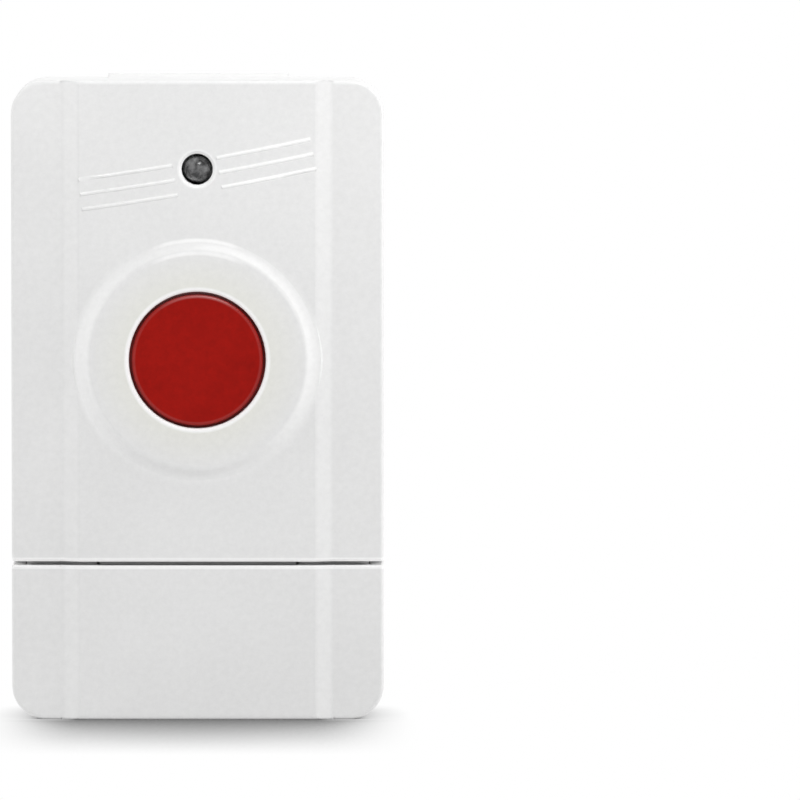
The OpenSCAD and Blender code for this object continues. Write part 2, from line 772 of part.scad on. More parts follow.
// A row of chip resistors along the right edge, and one of chip capacitors from the encoder to the screw
chip_count = 6;
chip_w = 1.25;
chip_l = 2;
resistor_h = 0.55;
resistor_pitch = 2.6;
capacitor_h = 0.85;
capacitor_gap = 0.9;
module chip_resistors() color(plastic_black) stand() for (i = [0:chip_count - 1])
    translate([screw_x - chip_l / 2, mid_y + (i - (chip_count - 1) / 2) * resistor_pitch - chip_w / 2,
        board_front]) cube([chip_l, chip_w, resistor_h]);
module chip_capacitors() color(ceramic) stand() {
    x0 = encoder_at[0] + encoder_l / 2 + capacitor_gap;
    x1 = screw_x - stand_r - capacitor_gap - chip_w;
    for (i = [0:chip_count - 1]) translate([x0 + (x1 - x0) * i / (chip_count - 1),
        encoder_at[1] - chip_l / 2, board_front]) cube([chip_w, chip_l, capacitor_h]);
}

// Tube swept along points, with triangle faces; across lies at right angles to no part of the path
function unit(v) = v / norm(v);
function tube_ring(path, i, r, sides, across) =
    let (t = unit(path[min(i + 1, len(path) - 1)] - path[max(i - 1, 0)]),
        b = unit(cross(across, t)), n = cross(t, b))
    [for (s = [0:sides - 1]) path[i] + r * (cos(360 * s / sides) * n + sin(360 * s / sides) * b)];
module tube(path, r, across) {
    sides = 6;
    last = len(path) - 1;
    points = [for (i = [0:last]) each tube_ring(path, i, r, sides, across)];
    walls = [for (i = [0:last - 1], s = [0:sides - 1]) let (a = i * sides + s,
            b = i * sides + (s + 1) % sides) each [[a, a + sides, b], [b, a + sides, b + sides]]];
    caps = [for (s = [1:sides - 2]) each [[0, s, s + 1],
        [last * sides, last * sides + s + 1, last * sides + s]]];
    polyhedron(points, concat(walls, caps));
}

// Least clear distance between stretches of a tube that are more than half a turn apart
function least_gap(path, d, apart) = min([for (i = [0:len(path) - 1])
    for (j = [i + apart:1:len(path) - 1]) norm(path[i] - path[j])]) - d;

// Points of a coil along an axis, turn by turn, with a radius that may change
ring_steps = 8;
function coil_points(turns, pitch, r0, r1) = [for (i = [0:turns * ring_steps])
    let (t = i / ring_steps, r = r0 + (r1 - r0) * t / turns)
    [r * cos(360 * t), r * sin(360 * t), pitch * t]];

// Wound coil lying along the board with both ends down through it
coil_wire = 0.5;
coil_lift = 0.3;
function lying_coil(turns, pitch, r) = let (z = coil_lift + coil_wire / 2 + r)
    concat([[0, 0, lead_back - board_front], [0, 0, -board_t / 2]],
        [for (p = coil_points(turns, pitch, r, r)) [p[1], p[2], z - p[0]]],
        [[0, pitch * turns, -board_t / 2], [0, pitch * turns, lead_back - board_front]]);

// Antenna: a long coil beside the switch
antenna_pitch = 1.25;
antenna_r = 1.7;
antenna_len = antenna_pitch * antenna_turns;
antenna_ends = [mid_y - antenna_len / 2, mid_y + antenna_len / 2];
antenna_path = lying_coil(antenna_turns, antenna_pitch, antenna_r);
module antenna_coil() color(copper) stand() translate([antenna_x, antenna_ends[0], board_front])
    tube(antenna_path, coil_wire / 2, [0, 1, 0]);

// Tuning coil: a short one across the board
tuning_turns = 4;
tuning_pitch = 1.1;
tuning_r = 1.3;
tuning_len = tuning_pitch * tuning_turns;
tuning_ends = [coil_at[0] - tuning_len / 2, coil_at[0] + tuning_len / 2];
tuning_path = lying_coil(tuning_turns, tuning_pitch, tuning_r);
module tuning_coil() color(copper) stand() translate([tuning_ends[0], coil_at[1], board_front])
    rotate([0, 0, -90]) tube(tuning_path, coil_wire / 2, [0, 1, 0]);

// Battery: a steel can in a plastic jacket, with a terminal at one end
jacket_t = 0.15;
jacket_lap = 0.8;
can_edge = 0.6;
nub_edge = 0.35;
module lie_along_x() translate([0, battery_y, battery_z]) rotate([0, 90, 0]) children();
module battery_can() color(bright_metal) stand() translate([can_x0, 0, 0]) lie_along_x()
    translate([0, 0, can_x1 - can_x0]) mirror([0, 0, 1])
        rotate_extrude() edge_profile(battery_d / 2 - jacket_t, can_x1 - can_x0, can_edge);
module battery_jacket() color(jacket_grey) stand() translate([can_x0 + jacket_lap, 0, 0]) lie_along_x()
    difference() {
        length = can_x1 - can_x0 - jacket_lap;
        cylinder(d = battery_d, h = length);
        translate([0, 0, -over]) cylinder(r = battery_d / 2 - jacket_t, h = length + 2 * over);
    }
module battery_terminal() color(bright_metal) stand() translate([can_x1, 0, 0]) lie_along_x()
    rotate_extrude() edge_profile(nub_r, nub_l, nub_edge);

// Contact strip: a plate at the battery's end, an arm up the side wall and a tail on the board
module contact_strip() {
    arm_y1 = board_y0 + arm_w + rest_gap;
    translate([plate_x, battery_y - plate_w / 2, plate_z0]) cube([strip_t, plate_w, plate_z1 - plate_z0]);
    translate([plate_x, battery_y, board_front]) cube([strip_t, arm_y1 - battery_y, arm_w]);
    translate([plate_x - tail_l, arm_y1 - arm_w, board_front]) cube([tail_l + strip_t, arm_w, strip_t]);
}
module positive_contact() color(bright_metal) stand() {
    contact_strip();
    translate([plate_x + strip_t / 2, 0, 0]) lie_along_x() mirror([0, 0, 1])
        cylinder(r1 = dimple_foot_r, r2 = dimple_tip_r, h = dimple_h + strip_t / 2);
}
module negative_contact() color(bright_metal) stand() mirror([1, 0, 0]) contact_strip();

// Battery spring: a tapered coil from the negative plate to the can, both ends flat to what they meet
spring_r0 = plate_w / 2 - plate_hold - spring_wire / 2 - battery_gap;
spring_r1 = 1.9;
spring_len = can_x0 + plate_x - spring_wire - 2 * rest_gap;
spring_coil = coil_points(spring_turns, spring_len / spring_turns, spring_r0, spring_r1);
spring_last = spring_coil[len(spring_coil) - 1];
spring_out = unit([spring_last[0], spring_last[1], 0]);
spring_path = concat([[spring_r0, -2 * spring_wire, 0]], spring_coil,
    [spring_last + 2 * spring_wire * [-spring_out[1], spring_out[0], 0]]);
module battery_spring() color(bright_metal) stand()
    translate([-plate_x + rest_gap + spring_wire / 2, 0, 0]) lie_along_x()
        tube(spring_path, spring_wire / 2, [0, 0, 1]);

echo(str("least gap of the antenna coil: ", least_gap(antenna_path, coil_wire, ring_steps / 2 + 2)));
echo(str("least gap of the tuning coil: ", least_gap(tuning_path, coil_wire, ring_steps / 2 + 2)));
echo(str("least gap of the battery spring: ", least_gap(spring_path, spring_wire, ring_steps / 2 + 2)));

front_cover();
rear_shell();
battery_cover();
button_cap();
led_lens();
led_leads();
circuit_board();
board_screws();
switch_body();
switch_plate();
switch_plunger();
switch_legs();
encoder_chip();
encoder_legs();
resonator_can();
resonator_leads();
rf_transistor();
transistor_legs();
chip_resistors();
chip_capacitors();
tuning_coil();
antenna_coil();
battery_can();
battery_jacket();
battery_terminal();
positive_contact();
negative_contact();
battery_spring();
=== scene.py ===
import math

import bmesh
import bpy
from mathutils import Matrix, Vector


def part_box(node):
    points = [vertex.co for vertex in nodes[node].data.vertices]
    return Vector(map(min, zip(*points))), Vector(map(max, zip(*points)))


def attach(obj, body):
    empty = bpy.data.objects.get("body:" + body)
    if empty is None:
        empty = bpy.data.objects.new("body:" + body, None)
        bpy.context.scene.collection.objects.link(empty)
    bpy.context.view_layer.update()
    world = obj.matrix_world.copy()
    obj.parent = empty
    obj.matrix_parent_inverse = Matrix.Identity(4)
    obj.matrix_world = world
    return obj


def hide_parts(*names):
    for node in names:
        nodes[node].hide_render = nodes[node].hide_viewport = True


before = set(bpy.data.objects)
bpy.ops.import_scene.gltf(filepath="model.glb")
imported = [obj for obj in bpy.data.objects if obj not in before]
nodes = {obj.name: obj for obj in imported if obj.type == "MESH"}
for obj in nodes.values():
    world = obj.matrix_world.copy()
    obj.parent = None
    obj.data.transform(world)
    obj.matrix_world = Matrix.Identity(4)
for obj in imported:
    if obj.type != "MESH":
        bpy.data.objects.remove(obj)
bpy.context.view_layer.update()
scene = bpy.context.scene
scene.view_settings.view_transform = "Standard"
mm = 0.001
white = (1, 1, 1, 1)
print("frame loaded with", len(nodes), "CAD nodes")


def middleOf(node):
    low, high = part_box(node)
    return (low + high) / 2


# Camera: in front of the case and a little above level, with the case in the left half of the frame

cameraSet = {
    "frame": 800,            # pixels along each side
    "scale": 8950,           # pixels to a metre at the front face
    "caseMiddle": 197.4,     # pixel column of the case's middle
    "foot": 720.5,           # pixel row of the case's foot
    "lens": 500,
    "sensor": 36,
    "elevation": 4.2,        # degrees
    "sight": 50,             # metres
}


def makeCamera():
    view = cameraSet
    half = view["frame"] / 2
    away = view["frame"] * view["lens"] / view["sensor"] / view["scale"]
    rise = math.radians(view["elevation"])
    forward = Vector((0, math.cos(rise), -math.sin(rise)))
    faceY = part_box("battery_cover")[0].y
    side = (half - view["caseMiddle"]) / view["scale"]
    height = (view["foot"] - half) / view["scale"] / math.cos(rise)
    data = bpy.data.cameras.new("photoCamera")
    data.lens = view["lens"]
    data.sensor_width = view["sensor"]
    data.clip_end = view["sight"]
    camera = bpy.data.objects.new("photoCamera", data)
    camera.location = Vector((side, faceY, height)) - forward * away
    camera.rotation_mode = "QUATERNION"
    camera.rotation_quaternion = forward.to_track_quat("-Z", "Y")
    scene.collection.objects.link(camera)
    scene.camera = camera


makeCamera()
print("camera set")


# Helpers for node trees

def addNode(tree, kind, links=None, values=None, **settings):
    node = tree.nodes.new("ShaderNode" + kind)
    for key, value in settings.items():
        setattr(node, key, value)
    for key, value in (values or {}).items():
        node.inputs[key].default_value = value
    for key, source in (links or {}).items():
        tree.links.new(source, node.inputs[key])
    return node


def linkOrSet(tree, socket, source):
    if isinstance(source, bpy.types.NodeSocket):
        tree.links.new(source, socket)
    else:
        socket.default_value = source


def calc(tree, operation, first, second):
    node = addNode(tree, "Math", operation=operation)
    linkOrSet(tree, node.inputs[0], first)
    linkOrSet(tree, node.inputs[1], second)
    return node.outputs[0]


def times(tree, first, second):
    return calc(tree, "MULTIPLY", first, second)


def largest(tree, first, *others):
    for other in others:
        first = calc(tree, "MAXIMUM", first, other)
    return first


def distance(tree, value, centre=0.0):
    return calc(tree, "ABSOLUTE", calc(tree, "SUBTRACT", value, centre), 0.0)


# From low at the start to high at the end, and level outside them
def rampBetween(tree, value, start, end, low=0.0, high=1.0, shape="LINEAR"):
    span = {"From Min": start, "From Max": end, "To Min": low, "To Max": high}
    return addNode(tree, "MapRange", {"Value": value}, span, interpolation_type=shape).outputs[0]


# Nothing up to the start, 1 from full to last, and nothing past the end
def between(tree, value, start, full, last, end):
    return times(tree, rampBetween(tree, value, start, full), rampBetween(tree, value, end, last))


def objectPoint(tree):
    return addNode(tree, "TexCoord").outputs["Object"]


def placeOf(tree):
    return addNode(tree, "SeparateXYZ", {0: objectPoint(tree)}).outputs


def seenRays(tree):
    path = addNode(tree, "LightPath").outputs
    return largest(tree, path["Is Camera Ray"], path["Is Glossy Ray"], path["Is Transmission Ray"])


# Stage: a white light table that keeps the shadow, an even dome and soft boxes round the object

floorSet = {
    "size": 12.0,
    "bounce": 0.9,
    "contact": {"reach": 4 * mm, "power": 0.3},        # the short shadow, all round the case
    "long": {"reach": 38 * mm, "power": 2.3},          # the long one, in the two fields below
    "front": {"depth": (-5.0 * mm, -8.0 * mm), "side": (13 * mm, 25 * mm)},
    "underCover": {"depth": (1.0 * mm, -1.5 * mm), "side": (13 * mm, 18 * mm)},
}
domeSet = {"light": 0.5, "seen": 1.0}
lampSet = {
    "topBox": {"at": (0.05, -0.12, 0.2), "size": (0.08, 0.05), "power": 0.14},
    "crownBox": {"at": (0.0, 0.0, 0.46), "size": (0.25, 0.2), "power": 0.38},
    "rightBox": {"at": (0.42, -0.01, 0.06), "size": (0.2, 0.25), "power": 0.66},
    "leftBox": {"at": (-0.42, -0.01, 0.06), "size": (0.2, 0.25), "power": 0.46},
}
aim = Vector((0, 0, 0.036))
occlusionSamples = 8


def occlusion(tree, reach, power=1.0):
    shade = addNode(tree, "AmbientOcclusion", values={"Distance": reach}, samples=occlusionSamples)
    return calc(tree, "POWER", shade.outputs["AO"], power)


def shadowField(tree, place, field):
    ahead = rampBetween(tree, place["Y"], *field["depth"])
    inside = rampBetween(tree, distance(tree, place["X"]), *field["side"], 1.0, 0.0, "SMOOTHSTEP")
    return times(tree, ahead, inside)


def makeFloor():
    bm = bmesh.new()
    bmesh.ops.create_grid(bm, x_segments=1, y_segments=1, size=floorSet["size"] / 2)
    mesh = bpy.data.meshes.new("floor")
    bm.to_mesh(mesh)
    bm.free()
    floor = bpy.data.objects.new("floor", mesh)
    scene.collection.objects.link(floor)
    material = bpy.data.materials.new("floorWhite")
    material.use_nodes = True
    tree = material.node_tree
    tree.nodes.clear()
    place = placeOf(tree)
    field = largest(tree, *(shadowField(tree, place, floorSet[part]) for part in ("front", "underCover")))
    contact, long = (occlusion(tree, **floorSet[part]) for part in ("contact", "long"))
    shade = addNode(tree, "Mix", {"Factor": field, 2: contact, 3: long})     # 2 and 3 are the values
    seen = addNode(tree, "Emission", {"Strength": shade.outputs[0]}, {"Color": white})
    bounce = addNode(tree, "Emission", values={"Color": white, "Strength": floorSet["bounce"]})
    mix = addNode(tree, "MixShader", {0: seenRays(tree), 1: bounce.outputs[0], 2: seen.outputs[0]})
    addNode(tree, "OutputMaterial", {"Surface": mix.outputs[0]})
    mesh.materials.append(material)


def makeDome():
    world = bpy.data.worlds.new("lightDome")
    scene.world = world
    world.use_nodes = True
    tree = world.node_tree
    tree.nodes.clear()
    light = addNode(tree, "Background", values={"Color": white, "Strength": domeSet["light"]})
    seen = addNode(tree, "Background", values={"Color": white, "Strength": domeSet["seen"]})
    mix = addNode(tree, "MixShader", {0: seenRays(tree), 1: light.outputs[0], 2: seen.outputs[0]})
    addNode(tree, "OutputWorld", {"Surface": mix.outputs[0]})


def makeLamps():
    for name, lamp in lampSet.items():
        data = bpy.data.lights.new(name, "AREA")
        data.shape = "RECTANGLE"
        data.size, data.size_y = lamp["size"]
        data.energy = lamp["power"]
        box = bpy.data.objects.new(name, data)
        box.location = lamp["at"]
        box.rotation_mode = "QUATERNION"
        box.rotation_quaternion = (aim - Vector(lamp["at"])).to_track_quat("-Z", "Y")
        box.visible_camera = False
        scene.collection.objects.link(box)


makeFloor()
makeDome()
makeLamps()
print("stage set")


# Shared effects as node groups

def newGroup(name, inputs, outputs):
    group = bpy.data.node_groups.new(name, "ShaderNodeTree")
    for label, value in inputs.items():
        socket = group.interface.new_socket(label, in_out="INPUT", socket_type="NodeSocketFloat")
        socket.default_value = value
    for label in outputs:
        group.interface.new_socket(label, in_out="OUTPUT", socket_type="NodeSocketFloat")
    return group, group.nodes.new("NodeGroupInput"), group.nodes.new("NodeGroupOutput")


# Spark-eroded mould texture: fine pits, and a coarser speckle of tone about a middle
grainForm = {"pits": {"Detail": 3.0, "Roughness": 0.62}, "flecks": {"Detail": 4.0, "Roughness": 0.7},
             "fleckScale": 0.45, "middle": 0.5}


def makeMouldGrain():
    group, start, end = newGroup("mouldGrain", {"Scale": 3000.0, "Speckle": 0.02}, ("Height", "Tone"))
    point = objectPoint(group)
    scale = start.outputs["Scale"]
    pits = addNode(group, "TexNoise", {"Vector": point, "Scale": scale}, grainForm["pits"])
    coarse = times(group, scale, grainForm["fleckScale"])
    flecks = addNode(group, "TexNoise", {"Vector": point, "Scale": coarse}, grainForm["flecks"])
    centred = calc(group, "SUBTRACT", flecks.outputs["Fac"], grainForm["middle"])
    share = times(group, centred, start.outputs["Speckle"])
    group.links.new(pits.outputs["Fac"], end.inputs["Height"])
    group.links.new(calc(group, "ADD", share, 1.0), end.inputs["Tone"])
    return group


# Broad drift of tone and gloss, as left by flow in the mould and by handling
driftForm = {"cloud": {"Detail": 2.0, "Roughness": 0.5}, "span": (0.35, 0.65)}


def makeSoftDrift():
    group, start, end = newGroup("softDrift", {"Scale": 90.0, "Low": 0.4, "High": 0.6}, ("Mask", "Value"))
    cloud = addNode(group, "TexNoise", {"Vector": objectPoint(group), "Scale": start.outputs["Scale"]},
                    driftForm["cloud"])
    mask = rampBetween(group, cloud.outputs["Fac"], *driftForm["span"])
    value = addNode(group, "MapRange", {"Value": mask, "To Min": start.outputs["Low"],
                                        "To Max": start.outputs["High"]})
    group.links.new(mask, end.inputs["Mask"])
    group.links.new(value.outputs[0], end.inputs["Value"])
    return group


mouldGrain = makeMouldGrain()
softDrift = makeSoftDrift()


# Helpers for materials

def newMaterial(name, **fixed):
    material = bpy.data.materials.new(name)
    material.use_nodes = True
    tree = material.node_tree
    shader = tree.nodes["Principled BSDF"]
    for key, value in fixed.items():
        shader.inputs[key.replace("_", " ")].default_value = value
    return material, tree, shader


def feed(tree, shader, **sources):
    for key, source in sources.items():
        tree.links.new(source, shader.inputs[key.replace("_", " ")])


def placeGroup(tree, group, **values):
    node = tree.nodes.new("ShaderNodeGroup")
    node.node_tree = group
    for key, value in values.items():
        node.inputs[key].default_value = value
    return node.outputs


def addGrain(tree, look):
    return placeGroup(tree, mouldGrain, Scale=look["grain"], Speckle=look["speckle"])


def addDrift(tree, look):
    low, high = look["gloss"]
    return placeGroup(tree, softDrift, Scale=look["drift"], Low=low, High=high)


def mixColours(tree, factor, first, second, blend="MIX"):
    node = addNode(tree, "Mix", data_type="RGBA", blend_type=blend)
    for key, source in (("Factor", factor), (6, first), (7, second)):     # 6 and 7 are the colours
        linkOrSet(tree, node.inputs[key], source)
    return node.outputs[2]


def scaleColour(tree, colour, tone):
    return addNode(tree, "VectorMath", {0: colour, "Scale": tone}, operation="SCALE").outputs[0]


def bumpFrom(tree, height, strength, depth, over=None):
    links = {"Height": height, "Normal": over} if over else {"Height": height}
    return addNode(tree, "Bump", links, {"Strength": strength, "Distance": depth}).outputs["Normal"]


# Moulded plastic of the case, cap and small bodies

plasticBase = {"ior": 1.49, "shine": 0.5, "drift": 70.0, "edgeSamples": 4}
plasticSet = {
    "caseWhite": {
        "light": (0.83, 0.83, 0.828, 1), "dark": (0.805, 0.805, 0.803, 1), "speckle": 0.15,
        "grain": 3200, "bump": 0.16, "pit": 0.012 * mm, "gloss": (0.36, 0.46), "edge": 0.08 * mm,
        "endEdge": 0.45 * mm, "endSpan": (1.1 * mm, 0.7 * mm),
        # painted shade in narrow gaps and creases, from occlusion
        "grime": {"reach": 0.7 * mm, "span": (0.08, 0.5, 0.45, 1.0),
                  "unshadedSide": (18.6 * mm, 19.6 * mm), "unshadedFront": (-1.5 * mm, -2.2 * mm)},
    },
    "buttonRed": {
        "light": (0.345, 0.0066, 0.0034, 1), "dark": (0.3, 0.005, 0.0026, 1), "speckle": 0.55,
        "grain": 2600, "bump": 0.2, "pit": 0.015 * mm, "gloss": (0.4, 0.52), "edge": 0.12 * mm,
        "shine": 0.08,
        "rim": {"node": "button_cap", "span": (6.88 * mm, 7.02 * mm), "roughness": 0.45, "ior": 1.8,
                "glint": (5.5 * mm, 7.0 * mm, 0.32, 1.0)},
    },
    "blackMoulding": {
        "light": (0.03, 0.03, 0.032, 1), "dark": (0.02, 0.02, 0.021, 1), "speckle": 0.2,
        "grain": 5200, "bump": 0.25, "pit": 0.012 * mm, "gloss": (0.45, 0.6), "edge": 0.1 * mm,
    },
}


# How far a point is from the axis of a node that looks forward
def axisReach(tree, node):
    middle = middleOf(node)
    flatten = {"Location": (-middle.x, 0, -middle.z), "Scale": (1, 0, 1)}
    flat = addNode(tree, "Mapping", {"Vector": objectPoint(tree)}, flatten)
    return addNode(tree, "VectorMath", {0: flat.outputs[0]}, operation="LENGTH").outputs["Value"]


def heightOver(tree, place, node):
    return calc(tree, "SUBTRACT", place["Z"], middleOf(node).z)


# The edges at the top and the foot of the case look rounder than the others
def endRadius(tree, look):
    height = placeOf(tree)["Z"]
    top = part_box("front_cover")[1].z
    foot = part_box("battery_cover")[0].z
    start, full = look["endSpan"]
    upper = rampBetween(tree, height, top - start, top - full, look["edge"], look["endEdge"])
    lower = rampBetween(tree, height, foot + start, foot + full, look["edge"], look["endEdge"])
    return largest(tree, upper, lower)


# Painted shade: narrow gaps and creases are darkened where they are occluded, less so where the seam runs
# out at the sides
def grimeShade(tree, grime):
    place = placeOf(tree)
    shade = rampBetween(tree, occlusion(tree, grime["reach"]), *grime["span"])
    unshaded = times(tree, rampBetween(tree, distance(tree, place["X"]), *grime["unshadedSide"]),
                  rampBetween(tree, place["Y"], *grime["unshadedFront"]))
    return largest(tree, shade, unshaded)


# The rim of the cap has a gloss of its own, which shows most at the top
def addRim(tree, shader, rim):
    above = heightOver(tree, placeOf(tree), rim["node"])
    ring = rampBetween(tree, axisReach(tree, rim["node"]), *rim["span"])
    feed(tree, shader, Coat_Weight=times(tree, ring, rampBetween(tree, above, *rim["glint"])))
    shader.inputs["Coat Roughness"].default_value = rim["roughness"]
    shader.inputs["Coat IOR"].default_value = rim["ior"]


def makePlastic(name, tintAndPaintedLight=None):
    look = {**plasticBase, **plasticSet[name]}
    material, tree, shader = newMaterial(name, IOR=look["ior"], Specular_IOR_Level=look["shine"])
    grain = addGrain(tree, look)
    drift = addDrift(tree, look)
    colour = mixColours(tree, drift["Mask"], look["light"], look["dark"])
    # A tint may bring painted highlights and painted shade as well
    if tintAndPaintedLight:
        colour = tintAndPaintedLight(tree, colour)
    # Painted shade in gaps and creases
    if "grime" in look:
        colour = scaleColour(tree, colour, grimeShade(tree, look["grime"]))
    if "rim" in look:
        addRim(tree, shader, look["rim"])
    edge = addNode(tree, "Bevel", values={"Radius": look["edge"]}, samples=look["edgeSamples"])
    if "endEdge" in look:
        tree.links.new(endRadius(tree, look), edge.inputs["Radius"])
    feed(tree, shader, Base_Color=scaleColour(tree, colour, grain["Tone"]), Roughness=drift["Value"],
         Normal=bumpFrom(tree, grain["Height"], look["bump"], look["pit"], edge.outputs["Normal"]))
    return material


# What is painted on the front stays off the back
frontSpan = (-3.0 * mm, -3.6 * mm)


def frontOnly(tree, place):
    return rampBetween(tree, place["Y"], *frontSpan)


# The white of the boss is a little yellow next to the cap
yellowing = {"colour": (0.985, 0.985, 0.93, 1), "span": (8.0 * mm, 12.0 * mm, 1.0, 0.0)}


def yellowByButton(tree, colour):
    ring = rampBetween(tree, axisReach(tree, "button_cap"), *yellowing["span"])
    mask = times(tree, ring, frontOnly(tree, placeOf(tree)))
    return mixColours(tree, mask, colour, yellowing["colour"], "MULTIPLY")


# Painted highlights: the colour is paler where light would catch, along the seam, round the two holes, on
# the ribs and slopes, and on the top
highlightSet = {
    "colour": (0.97, 0.97, 0.966, 1),
    "seam": {"height": 17.55 * mm, "span": (0.72 * mm, 0.55 * mm)},
    "holes": {"button_cap": (8.25 * mm, 8.0 * mm), "led_lens": (2.3 * mm, 2.0 * mm)},
    "ribs": {"bend": 340 * mm, "pitch": 1.67 * mm, "tilt": 9.8, "height": 60.9 * mm,
             "half": (0.36 * mm, 0.2 * mm), "reach": (2.4 * mm, 2.6 * mm, 13.1 * mm, 13.3 * mm),
             "share": (-12 * mm, 12 * mm, 0.25, 1.0)},
    "top": {"height": (71.2 * mm, 71.5 * mm), "depth": (-6.0 * mm, 6.0 * mm, 0.0, 0.6)},
    "panelSlope": {"span": (-6.42 * mm, -6.5 * mm, -6.8 * mm, -6.88 * mm),
                   "share": (-12 * mm, 12 * mm, 0.2, 0.24)},
    "bossSlope": {"span": (12.0 * mm, 12.4 * mm, 13.5 * mm, 14.2 * mm),
                  "share": (-12 * mm, 12 * mm, 0.62, 0.48), "low": (0.0, -11 * mm, 0.0, 0.28)},
    "bossGlints": {"rings": (11.95 * mm, 13.4 * mm), "half": (0.3 * mm, 0.1 * mm),
                   "across": (5.5 * mm, 3.5 * mm, 0.0, 0.8), "over": (9 * mm, 10 * mm)},
}


# Painted highlight on the panel's slopes
def panelSlopeMask(tree, place):
    slope = highlightSet["panelSlope"]
    share = rampBetween(tree, place["X"], *slope["share"])
    return times(tree, between(tree, place["Y"], *slope["span"]), share)


# Painted highlight on the boss's slope, mostly at its sides
def bossSlopeMask(tree, place):
    slope = highlightSet["bossSlope"]
    reach = axisReach(tree, "button_cap")
    sideways = calc(tree, "POWER", calc(tree, "DIVIDE", distance(tree, place["X"]), reach), 2.0)
    below = rampBetween(tree, heightOver(tree, place, "button_cap"), *slope["low"])
    around = times(tree, largest(tree, sideways, below), rampBetween(tree, place["X"], *slope["share"]))
    return times(tree, between(tree, reach, *slope["span"]), around)


# Painted glints: two thin pale arcs at the top of the boss
def bossGlintMask(tree, place):
    glint = highlightSet["bossGlints"]
    reach = axisReach(tree, "button_cap")
    off = calc(tree, "MINIMUM", *(distance(tree, reach, ring) for ring in glint["rings"]))
    above = rampBetween(tree, heightOver(tree, place, "button_cap"), *glint["over"])
    across = rampBetween(tree, distance(tree, place["X"]), *glint["across"])
    return times(tree, times(tree, rampBetween(tree, off, *glint["half"]), above), across)


# Painted highlight on the ribs, three arcs about one far centre, broken at the lamp; those on the right are
# the brighter
def ribMask(tree, place):
    ribs = highlightSet["ribs"]
    lean = math.radians(ribs["tilt"])
    rise = calc(tree, "SUBTRACT", place["Z"], ribs["height"])
    along = calc(tree, "ADD", times(tree, place["X"], math.cos(lean)), times(tree, rise, math.sin(lean)))
    up = calc(tree, "SUBTRACT", times(tree, rise, math.cos(lean)), times(tree, place["X"], math.sin(lean)))
    sag = calc(tree, "DIVIDE", times(tree, along, along), 2 * ribs["bend"])
    fromMiddle = distance(tree, calc(tree, "SUBTRACT", up, sag))
    off = calc(tree, "MINIMUM", fromMiddle, distance(tree, fromMiddle, ribs["pitch"]))
    line = times(tree, rampBetween(tree, off, *ribs["half"]),
                 between(tree, distance(tree, along), *ribs["reach"]))
    return times(tree, line, rampBetween(tree, place["X"], *ribs["share"]))


# Painted highlights on the front, and on the top of the case
def paintedHighlights(tree, colour):
    place = placeOf(tree)
    seam, top = highlightSet["seam"], highlightSet["top"]
    masks = [rampBetween(tree, distance(tree, place["Z"], seam["height"]), *seam["span"])]
    masks += [rampBetween(tree, axisReach(tree, node), *span) for node, span in highlightSet["holes"].items()]
    masks += [make(tree, place) for make in (panelSlopeMask, bossSlopeMask, bossGlintMask, ribMask)]
    front = times(tree, largest(tree, *masks), frontOnly(tree, place))
    crown = times(tree, rampBetween(tree, place["Z"], *top["height"]),
                  rampBetween(tree, place["Y"], *top["depth"]))
    return mixColours(tree, largest(tree, front, crown), colour, highlightSet["colour"])


# Painted shade in the seam's gap: darker in front of the cover's tab and on the strips beside the panel
gapSet = {"half": (0.24 * mm, 0.2 * mm), "tab": (11.3 * mm, 11.1 * mm, 0.0, 0.35),
          "strips": (13.0 * mm, 15.0 * mm, 18.2 * mm, 18.8 * mm), "stripDark": 0.32}


def paintedGapShade(tree, colour):
    place = placeOf(tree)
    across = distance(tree, place["X"])
    strips = times(tree, between(tree, across, *gapSet["strips"]), gapSet["stripDark"])
    dark = largest(tree, rampBetween(tree, across, *gapSet["tab"]), strips)
    inside = rampBetween(tree, distance(tree, place["Z"], highlightSet["seam"]["height"]), *gapSet["half"])
    inside = times(tree, inside, frontOnly(tree, place))
    return scaleColour(tree, colour, calc(tree, "SUBTRACT", 1.0, times(tree, inside, dark)))


# Painted shade: the ends of the panel's slopes darken towards the foot, as the shaded rounded edges beside
# them do
footSet = {"across": (13.2 * mm, 13.6 * mm, 15.0 * mm, 15.3 * mm), "height": (0.0, 0.26 * mm, 0.4, 0.0)}


def footShade(tree, colour):
    place = placeOf(tree)
    low = rampBetween(tree, place["Z"], *footSet["height"])
    across = between(tree, distance(tree, place["X"]), *footSet["across"])
    ends = times(tree, across, frontOnly(tree, place))
    return scaleColour(tree, colour, calc(tree, "SUBTRACT", 1.0, times(tree, low, ends)))


# The case's colour: its yellow tint by the button, with painted highlights, painted shade in the seam's gap
# and painted shade at the foot
def caseTintAndPaintedLight(tree, colour):
    return footShade(tree, paintedGapShade(tree, paintedHighlights(tree, yellowByButton(tree, colour))))


# Smoky lamp epoxy

epoxySet = {"light": (0.42, 0.42, 0.425, 1), "dark": (0.035, 0.035, 0.037, 1), "drift": 1100.0,
            "gloss": (0.08, 0.2), "ior": 1.52, "clear": 0.5}


def makeLampEpoxy():
    look = epoxySet
    material, tree, shader = newMaterial("lampEpoxy", IOR=look["ior"], Transmission_Weight=look["clear"])
    drift = addDrift(tree, look)
    colour = mixColours(tree, drift["Mask"], look["light"], look["dark"])
    feed(tree, shader, Base_Color=colour, Roughness=drift["Value"])
    return material


# Bare and plated metals

